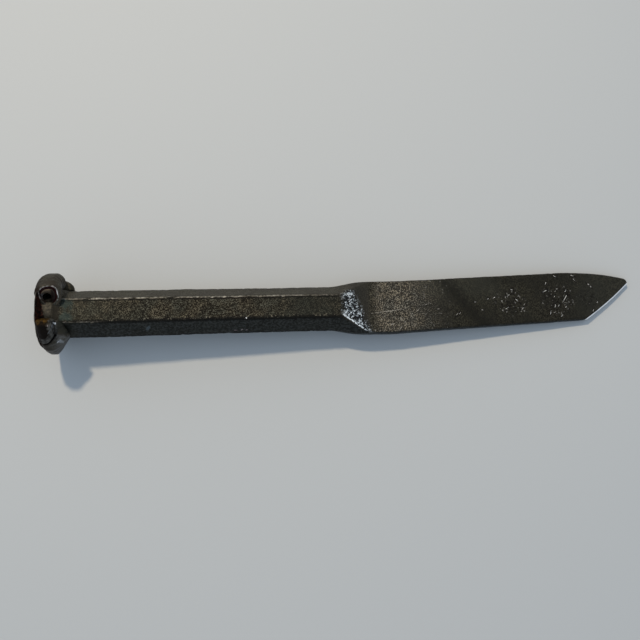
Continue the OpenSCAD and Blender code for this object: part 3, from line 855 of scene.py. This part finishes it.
pad_colour = tint(tree, ramp(tree, worn, 0.38, 0.64), (0.016, 0.0155, 0.011, 1), (0.052, 0.046, 0.036, 1))
colour = tint(tree, product(tree, pad, 0.9), colour, pad_colour)
# painted shade: the steep back of the flange, turned away from the lamp, is painted near black with red-brown rust
border = calc(tree, "ADD", calc(tree, "ADD", x, product(tree, ragged, 1.4)), product(tree, y, 0.15))
shaded_shelf = product(tree, ramp(tree, border, 2.0, 1.5), ramp(tree, struck, 0.5, 0.0))
shaded_shelf_colour = tint(tree, ramp(tree, ragged, -0.02, 0.1), (0.005, 0.0018, 0.0016, 1), (0.04, 0.011, 0.006, 1))
colour = tint(tree, product(tree, shaded_shelf, 0.95), colour, shaded_shelf_colour)
# painted shade where the core shows inside the mouth of the far lip
mouth_shadow = product(tree, ramp(tree, y, 2.7, 3.2), band(tree, x, 1.8, 6.6, 0.3))
colour = tint(tree, mouth_shadow, colour, (0.004, 0.0035, 0.003, 1))
foot = band(tree, calc(tree, "ADD", x, product(tree, ragged, 0.8)), 4.9, 7.0, 0.4)
colour = tint(tree, product(tree, foot, 0.75), colour, (0.038, 0.031, 0.021, 1))
finish_steel(tree, steel, colour, base["Roughness"], calc(tree, "SUBTRACT", base["Height"], pecks["Mask"]))
head.data.materials.append(battered)
lay_down(head, "striking_head", slot="struck_steel")

# The burr lips: where blows have driven the rim of the face outwards, it has rolled back over the
# bar in heavy lobes. Each lip is swept round the tool's axis through a row of egg-shaped sections.
LIP_SIDES = 72
LIP_STEP = 0.8
LIP_END = 3.5


def lip_ring(angle, row, shrink=1.0):
    """One section of a lip. A row gives, after its angle, four extreme places as (x, radius):
    towards the face, outermost, towards the tip, and innermost. Its last number is below 1 where the
    roll is full towards the tip, and above 1 where it is flat there."""
    (x_face, r_face), (x_top, r_top), (x_tip, r_tip), (x_foot, r_foot) = zip(row[:8:2], row[1:8:2])
    section_points = []
    for i in range(LIP_SIDES):
        part, a = divmod(i * math.tau / LIP_SIDES, math.pi / 2)
        s, c = math.sin(a), math.cos(a)
        if part in (0, 3):
            full = row[8] if part == 0 else 1.02
            s, c = s**full, c**full
        if part == 0:
            section_points.append((x_top + (x_tip - x_top) * s, r_tip + (r_top - r_tip) * c))
        elif part == 1:
            section_points.append((x_foot + (x_tip - x_foot) * c, r_tip - (r_tip - r_foot) * s))
        elif part == 2:
            section_points.append((x_foot - (x_foot - x_face) * s, r_face - (r_face - r_foot) * c))
        else:
            section_points.append((x_top - (x_top - x_face) * c, r_face + (r_top - r_face) * s))
    middle_x, middle_r = (x_face + x_tip) / 2, (r_top + r_foot) / 2
    turned = math.radians(angle)
    points = []
    for x, r in section_points:
        x, r = mix(middle_x, x, shrink), mix(middle_r, r, shrink)
        points.append((x, r * math.cos(turned), r * math.sin(turned)))
    return points


def lip_rings(rows, seed, close_end=True):
    """All sections of a lip, with rounded ends and a wavering free edge."""
    rings = []
    angle = rows[0][0]
    while angle <= rows[-1][0]:
        after = next(i for i in range(1, len(rows)) if rows[i][0] >= angle)
        before, following = rows[after - 1], rows[after]
        t = ease((angle - before[0]) / (following[0] - before[0]))
        row = [mix(p, q, t) for p, q in zip(before[1:], following[1:])]
        waver = noise.noise(Vector((angle / 8, seed, 0))) + 0.25 * noise.noise(Vector((angle / 4, seed, 5)))
        row[4] += 0.5 * waver
        row[3] -= 0.25 * abs(noise.noise(Vector((angle / 9, seed, 9))))
        rings.append((angle, row))
        angle += LIP_STEP
    ends = [math.radians(a) for a in (80, 62, 44, 28, 14)]
    first, last = rings[0], rings[-1]
    opening = [lip_ring(first[0] - LIP_END * math.sin(a), first[1], math.cos(a)) for a in ends]
    closing = [lip_ring(last[0] + LIP_END * math.sin(a), last[1], math.cos(a)) for a in reversed(ends)]
    return opening + [lip_ring(a, row) for a, row in rings] + (closing if close_end else [])


def keep_round(piece, limit=16.17):
    """No lip stands out further than the round that the head lies on."""
    for vertex in piece.data.vertices:
        radius = math.hypot(vertex.co.y, vertex.co.z)
        if radius > limit:
            vertex.co.y *= limit / radius
            vertex.co.z *= limit / radius


FAR_ROWS = [
    (-4, -0.2, 13.4, 3.0, 15.4, 6.6, 12.2, 4.6, 9.2, 0.95),
    (8, -0.8, 14.0, 3.7, 16.5, 7.6, 12.3, 5.4, 9.2, 0.95),
    (35, -1.0, 14.0, 3.7, 16.5, 8.0, 12.4, 5.2, 9.1, 0.95),
    (56, -1.0, 13.7, 4.0, 16.3, 8.9, 12.4, 4.6, 9.0, 0.9),
    (92, -0.6, 12.8, 4.2, 16.1, 9.3, 12.4, 4.6, 9.0, 0.9),
]
far_lip, places = swept("far_lip", lip_rings(FAR_ROWS, 1, close_end=False))
dent(far_lip, "far_waves", 5, 0.35, 0.7)
dent(far_lip, "far_grain", 1.2, 0.06)
keep_round(far_lip)

# Its end is torn off at a slant, and stands open like the mouth of a pipe: a polished rim with painted
# highlights, a groove with rust in it, an inner wall painted lit above and shaded below, and the hollow of
# the roll painted black as shade. The mouth attribute tells the material which is which.
MOUTH_NORMAL = Vector((0.111, -0.462, 0.88)).normalized()
MOUTH_PLACE = Vector((4.27, 5.42, 11.33))
HOLE_SHIFT = Vector((-0.62, -0.72, -0.3))
bpy.context.view_layer.objects.active = far_lip
far_lip.data.attributes.new("mouth", "FLOAT", "POINT")


def mark_mouth(value):
    bpy.ops.object.mode_set(mode="OBJECT")
    mouth = far_lip.data.attributes["mouth"].data
    for vertex in far_lip.data.vertices:
        if vertex.select:
            mouth[vertex.index].value = value
    bpy.ops.object.mode_set(mode="EDIT")


bpy.ops.object.mode_set(mode="EDIT")
bpy.ops.mesh.select_all(action="SELECT")
bpy.ops.mesh.bisect(plane_co=MOUTH_PLACE, plane_no=MOUTH_NORMAL, use_fill=True, clear_outer=True)
bpy.ops.mesh.select_mode(type="FACE")
mark_mouth(0.1)
# Steps from the rim inwards: the new radius, how far along the normal, and the mark
MOUTH_STEPS = [
    (4.2, 0.12, 0.2), (3.75, 0.05, 0.2), (3.6, -0.3, 0.32), (3.5, -0.7, 0.4), (2.9, 0.0, 0.4),
    (2.8, 0.5, 0.55), (2.72, 0.06, 0.6), (2.45, -0.15, 0.6), (2.1, -0.28, 0.6), (1.78, -0.4, 0.7),
    (1.7, -0.6, 1.0), (1.6, -1.0, 1.0), (1.4, -1.3, 1.0), (0.9, -1.0, 1.0),
]
bpy.ops.mesh.extrude_region_move(TRANSFORM_OT_translate={"value": (0.05, 0.15, 0.08)})
centre, radius = MOUTH_PLACE.copy(), 4.3
bpy.ops.transform.resize(value=(0.77, 0.93, 0.93), center_override=centre)
mark_mouth(0.08)
for new_radius, depth, value in MOUTH_STEPS:
    step = MOUTH_NORMAL * depth
    if 1.7 < new_radius < 3:
        step += HOLE_SHIFT / 4
    bpy.ops.mesh.extrude_region_move(TRANSFORM_OT_translate={"value": step})
    centre += step
    share = new_radius / radius
    bpy.ops.transform.resize(value=(share, share, share), center_override=centre)
    radius = new_radius
    mark_mouth(value)
bpy.ops.mesh.select_mode(type="VERT")
bpy.ops.object.mode_set(mode="OBJECT")
bpy.ops.object.shade_smooth_by_angle(angle=math.radians(50))


def rolled_steel(name, brown=0.3):
    """The finish of a lip: smooth grey steel with brown haze, and the side turned away from the lamp painted lighter as
    painted fill light.
    """
    material, tree, place, steel = new_steel(name)
    axes = put(tree, "SeparateXYZ", {"Vector": place}).outputs
    x, y, z = axes["X"], axes["Y"], axes["Z"]
    ragged = calc(tree, "SUBTRACT", cloudiness(tree, place, 1.2, 3.0, 0.65), 0.5)
    patchy = cloudiness(tree, place, 4.5, 3.0)
    base = use(tree, skin, Vector=place, Smooth=0.92)
    colour = tint(tree, ramp(tree, patchy, 0.42, 0.6), base["Color"], (0.042, 0.037, 0.029, 1))
    # painted fill light: the side turned away from the lamp is painted lighter
    painted_fill_side = ramp(tree, slope_towards(tree, (0, 0.5, 0.87)), 0.35, -0.2)
    colour = tint(tree, product(tree, painted_fill_side, 0.85), colour, (0.1, 0.097, 0.093, 1))
    front = ramp(tree, calc(tree, "ADD", x, product(tree, ragged, 1.6)), 2.0, 0.2)
    colour = tint(tree, product(tree, front, 0.75), colour, (0.014, 0.009, 0.006, 1))
    colour = tint(tree, product(tree, ramp(tree, patchy, 0.5, 0.62), brown), colour, (0.026, 0.016, 0.01, 1))
    return tree, steel, place, x, y, z, ragged, patchy, colour, base, material


tree, steel, place, x, y, z, ragged, patchy, colour, base, material = rolled_steel("rolled_far_lip")
mouth = put(tree, "Attribute", attribute_name="mouth").outputs["Fac"]
wavy = calc(tree, "ADD", mouth, product(tree, ragged, 0.06))
# painted highlights on the rim and its inner edge, the inner wall painted lit above and shaded below, and painted shade
# in the hollow
glow = ramp(tree, cloudiness(tree, place, 1.6, 2.0), 0.42, 0.6)
open_side = ramp(tree, y, 3.0, 4.6, 0.1, 1.0)
rim = product(tree, band(tree, wavy, 0.14, 0.27, 0.04), glow, open_side)
rim_highlight_colour = tint(tree, ramp(tree, x, 6.6, 7.6), (0.3, 0.28, 0.27, 1), (0.75, 0.73, 0.7, 1))
colour = tint(tree, product(tree, rim, 0.9), colour, rim_highlight_colour)
colour = tint(tree, band(tree, mouth, 0.3, 0.47, 0.05), colour, (0.02, 0.004, 0.004, 1))
sunny = product(tree, ramp(tree, y, 5.4, 6.8), ramp(tree, x, 5.4, 4.2))
wall = tint(tree, sunny, (0.012, 0.008, 0.007, 1), (0.12, 0.088, 0.06, 1))
colour = tint(tree, ramp(tree, mouth, 0.48, 0.6), colour, wall)
inner_rim_highlight = product(tree, band(tree, mouth, 0.6, 0.8, 0.06), ramp(tree, x, 2.9, 2.3), ramp(tree, y, 6.4, 5.6))
colour = tint(tree, product(tree, inner_rim_highlight, 0.8), colour, (0.22, 0.2, 0.2, 1))
hollow = calc(tree, "MAXIMUM", ramp(tree, mouth, 0.7, 0.9), product(tree, ramp(tree, mouth, 0.5, 0.6), ramp(tree, y, 4.3, 3.7)))
colour = tint(tree, hollow, colour, (0.004, 0.0035, 0.003, 1))
finish_steel(tree, steel, colour, base["Roughness"], base["Height"], depth=0.0002)
far_lip.data.materials.append(material)
lay_down(far_lip, "burr_lip_far", slot="rolled_burr")

BACK_ROWS = [
    (-60, 0.4, 13.2, 3.0, 15.0, 7.5, 11.6, 5.0, 9.2, 0.95),
    (-50, 0.0, 13.8, 3.5, 16.2, 9.0, 11.2, 6.2, 9.2, 0.95),
    (-32, 0.0, 13.8, 3.6, 15.8, 9.7, 10.6, 6.6, 9.2, 1.0),
    (-12, 0.1, 13.6, 3.6, 14.8, 10.2, 10.3, 6.6, 9.2, 1.0),
    (-6, 0.4, 13.2, 3.4, 14.2, 9.6, 10.2, 6.2, 9.2, 1.0),
]
SIDE_ROWS = [
    (211, 0.4, 13.0, 2.4, 14.6, 4.6, 12.4, 3.6, 9.2, 1.0),
    (217, 0.0, 13.8, 2.8, 15.6, 5.2, 12.2, 4.2, 9.2, 1.0),
    (231, 0.0, 13.8, 3.0, 15.8, 5.5, 12.4, 4.4, 9.2, 1.0),
    (237, 0.4, 13.2, 2.6, 15.0, 5.2, 12.4, 4.0, 9.2, 1.0),
]
UNDER_ROWS = [
    (246, 0.4, 13.2, 2.8, 15.0, 6.2, 12.0, 4.4, 9.2, 0.95),
    (255, 0.0, 13.8, 3.4, 16.2, 8.6, 12.0, 5.6, 9.2, 0.95),
    (281, 0.0, 13.8, 3.4, 16.2, 8.2, 11.8, 5.6, 9.2, 0.95),
    (292, 0.3, 13.2, 2.8, 15.0, 6.4, 12.0, 4.4, 9.2, 0.95),
]
NEAR_UNDER_ROWS = [
    (117, 1.0, 12.2, 3.2, 12.6, 8.6, 9.6, 6.0, 8.8, 1.1),
    (127, 0.6, 12.6, 3.4, 13.0, 9.2, 9.7, 6.2, 8.8, 1.1),
    (140, 0.4, 13.2, 3.5, 14.2, 10.3, 10.2, 6.4, 9.0, 1.15),
    (152, 0.4, 13.9, 3.5, 15.4, 10.8, 10.6, 6.2, 9.2, 1.35),
    (164, 0.4, 14.0, 3.6, 16.5, 10.2, 10.6, 6.0, 9.2, 1.55),
    (190, 0.4, 14.0, 3.5, 16.5, 8.0, 10.5, 5.6, 9.2, 1.5),
    (198, 0.3, 13.6, 3.4, 15.6, 7.2, 10.6, 5.4, 9.2, 1.3),
    (202, 0.6, 12.9, 3.0, 14.4, 6.2, 10.8, 4.6, 9.2, 1.1),
]
NEAR_OVER_ROWS = [
    (110, -0.2, 13.2, 3.0, 15.8, 6.6, 12.8, 3.8, 10.2, 0.93),
    (117, -0.2, 13.7, 3.2, 16.2, 6.8, 12.9, 4.2, 10.2, 0.93),
    (132, 0.0, 13.8, 3.3, 16.2, 6.4, 13.2, 4.2, 10.4, 0.93),
    (138, 0.2, 13.9, 3.2, 16.2, 6.0, 13.6, 3.8, 10.8, 0.93),
    (143, 0.2, 14.2, 2.8, 16.0, 4.9, 14.2, 3.0, 11.6, 0.95),
    (146, 0.4, 14.4, 2.4, 15.8, 4.0, 14.6, 2.4, 12.6, 0.95),
]
# The upper layer of the near lip has torn along its lower edge, and a crack runs beside it, painted black as shade.
# Places along the crack, as (along the tool, degrees round it).
CRACK = [(1.9, 151.5), (2.7, 151), (3.8, 147), (4.9, 142.8), (6.0, 138)]
CRACK_RADIUS = 15


def to_crack(x, angle):
    """How far a place on the lip is from the crack, in millimetres."""
    turn = math.radians(CRACK_RADIUS)
    best = 99
    for (x0, a0), (x1, a1) in zip(CRACK, CRACK[1:]):
        run, rise = x1 - x0, (a1 - a0) * turn
        t = ((x - x0) * run + (angle - a0) * turn * rise) / (run**2 + rise**2)
        t = min(1, max(0, t))
        best = min(best, math.hypot(x - x0 - t * run, (angle - a0) * turn - t * rise))
    return best


# Painted highlights on the near lip: place, turn, length, width and colour
LIP_GLINTS = [
    (6.6, -5.5, 95, 1.0, 0.45, (0.75, 0.75, 0.75, 1)), (6.2, -6.8, 80, 1.8, 0.3, (0.13, 0.135, 0.145, 1)),
    (5.2, -8.9, 55, 2.6, 0.3, (0.09, 0.095, 0.095, 1)), (4.9, -6.8, 80, 0.7, 0.35, (0.25, 0.2, 0.19, 1)),
    (7.0, -12.1, 45, 1.5, 0.3, (0.4, 0.4, 0.4, 1)), (7.9, -11.9, 20, 1.7, 1.2, (0.2, 0.21, 0.215, 1)),
]
for name, node, rows, seed in (
    ("back_lip", "burr_lip_back", [BACK_ROWS], 2),
    ("near_lip", "burr_lip_near", [NEAR_UNDER_ROWS, NEAR_OVER_ROWS], 3),
    ("side_lip", "burr_lip_side", [SIDE_ROWS], 4),
    ("under_lip", "burr_lip_under", [UNDER_ROWS], 5),
):
    lip, places = swept(name, lip_rings(rows[0], seed))
    gap = lip.data.attributes.new("gap", "FLOAT", "POINT").data
    if name == "near_lip":
        for index, vertex in enumerate(lip.data.vertices):
            x, y, z = vertex.co
            torn = ease(1 - to_crack(x, math.degrees(math.atan2(z, y)) % 360) / 0.85)
            if math.hypot(y, z) > 11:
                gap[index].value = torn
                vertex.co.y *= 1 - 0.1 * torn
                vertex.co.z *= 1 - 0.1 * torn
    if len(rows) > 1:
        upper, places = swept(name + "_upper", lip_rings(rows[1], seed + 20))
        bpy.ops.object.select_all(action="DESELECT")
        lip.select_set(True)
        upper.select_set(True)
        bpy.context.view_layer.objects.active = lip
        bpy.ops.object.join()
    dent(lip, name + "_waves", 5, 0.4, 0.7)
    dent(lip, name + "_grain", 1.2, 0.08)
    keep_round(lip)
    bpy.ops.object.shade_smooth_by_angle(angle=math.radians(50))
    tree, steel, place, x, y, z, ragged, patchy, colour, base, material = rolled_steel("rolled_" + name)
    if name == "back_lip":
        dusty = tint(tree, ramp(tree, patchy, 0.44, 0.56), (0.016, 0.0145, 0.0095, 1), (0.056, 0.046, 0.03, 1))
        colour = tint(tree, 0.75, colour, dusty)
    if name == "near_lip":
        leaning = calc(tree, "ADD", calc(tree, "ADD", x, product(tree, ragged, 2.4)), ramp(tree, z, 12.4, 10.4, 0.0, 3.2))
        dark = product(tree, ramp(tree, leaning, 5.3, 4.4), ramp(tree, z, 7.5, 9.5))
        colour = tint(tree, product(tree, dark, 0.97), colour, (0.0035, 0.0022, 0.0015, 1))
        facet = product(tree, ramp(tree, leaning, 4.6, 5.4), ramp(tree, z, 7.6, 8.8), ramp(tree, x, 7.4, 6.8))
        olive = product(tree, ramp(tree, y, -9.8, -8.4), ramp(tree, x, 6.0, 6.8))
        colour = tint(tree, product(tree, olive, 0.85), colour, (0.021, 0.022, 0.0175, 1))
        pale = product(tree, band(tree, y, -13.0, -9.8, 0.8), ramp(tree, x, 5.6, 7.0), ramp(tree, ragged, -0.15, 0.1))
        colour = tint(tree, product(tree, pale, 0.8), colour, (0.105, 0.106, 0.103, 1))
        facet_tone = tint(tree, ramp(tree, ragged, -0.1, 0.1), (0.018, 0.018, 0.016, 1), (0.085, 0.082, 0.074, 1))
        colour = tint(tree, product(tree, facet, 0.85), colour, facet_tone)
        # painted shade: the crack is painted near black
        torn = put(tree, "Attribute", attribute_name="gap").outputs["Fac"]
        colour = tint(tree, ramp(tree, torn, 0.15, 0.6), colour, (0.002, 0.0015, 0.001, 1))
        rust = product(tree, ramp(tree, calc(tree, "ADD", y, product(tree, ragged, 1.6)), -7.0, -6.3), ramp(tree, x, 5.8, 4.4))
        rust = product(tree, rust, ramp(tree, cloudiness(tree, place, 1.4, 3.0), 0.42, 0.56, 0.12, 1.0))
        colour = tint(tree, product(tree, rust, 0.95), colour, (0.062, 0.033, 0.006, 1))
        waver = calc(tree, "SUBTRACT", cloudiness(tree, place, 0.5, 1.0), 0.5)
        # painted highlights on the upper surfaces of the near lip
        for glint_x, glint_y, turn, length, width, tone in LIP_GLINTS:
            glint = put(tree, "Group", {
                "Vector": place, "Waver": waver, "Centre": (glint_x, glint_y, 0), "Turn": math.radians(turn),
                "Size": (length / 2, width / 2, 1000),
            }, node_tree=chip).outputs["Bright"]
            colour = tint(tree, product(tree, glint, ramp(tree, z, 1.0, 3.0)), colour, tone)
    finish_steel(tree, steel, colour, base["Roughness"], base["Height"], depth=0.0002)
    lip.data.materials.append(material)
    lay_down(lip, node, slot="rolled_burr")
